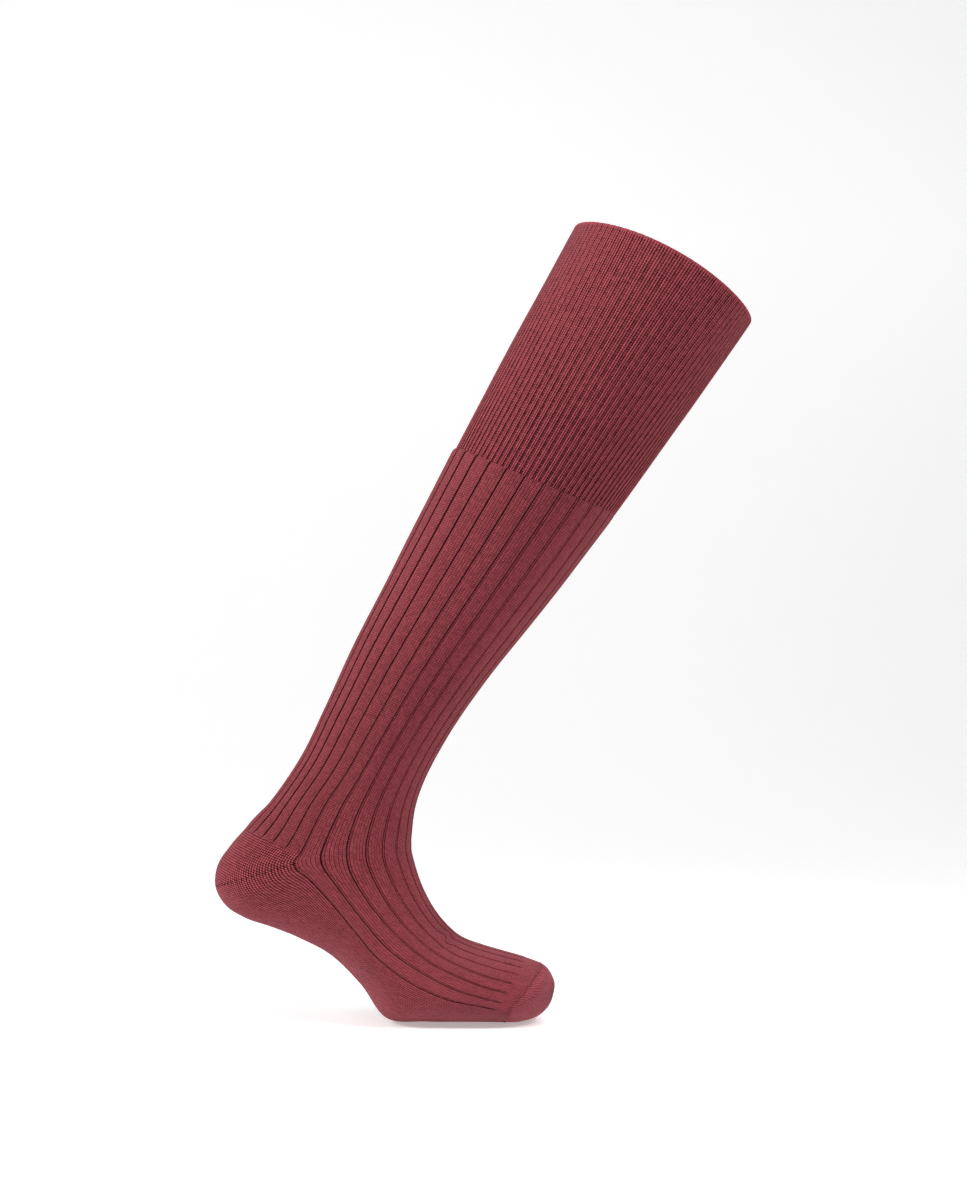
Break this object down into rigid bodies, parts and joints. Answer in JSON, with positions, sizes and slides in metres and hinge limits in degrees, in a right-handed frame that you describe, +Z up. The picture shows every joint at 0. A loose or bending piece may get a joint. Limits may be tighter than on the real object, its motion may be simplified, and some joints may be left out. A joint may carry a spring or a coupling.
{
  "type": "long ribbed wool sock",
  "caption": "Long wool sock in its worn shape, foot on tiptoe, with a tall ribbed cuff, wide-rib leg, turned heel, plain sole and closed toe, open at the top.",
  "frame": {"origin": "middle of the opening at the top of the cuff, where the leg goes in", "axes": "+Z up, +X from heel to toe, the XZ plane is the sock's middle plane"},
  "size_m": [0.3641, 0.12, 0.5399],
  "materials": {
    "cuff": "burgundy wool yarn in 1x1 rib",
    "leg": "burgundy wool yarn in wide rib",
    "instep": "burgundy wool yarn in wide rib",
    "heel_cup": "burgundy wool yarn in plain knit",
    "sole": "burgundy wool yarn in plain knit",
    "toe_seam": "burgundy wool yarn, linked stitches",
    "toe_cap": "burgundy wool yarn in plain knit"
  },
  "bodies": {
    "root": {"cuff": "cuff", "leg": "leg", "instep": "instep", "heel_cup": "heel_cup", "sole": "sole", "toe_seam": "toe_seam", "toe_cap": "toe_cap"}
  },
  "joints": []
}
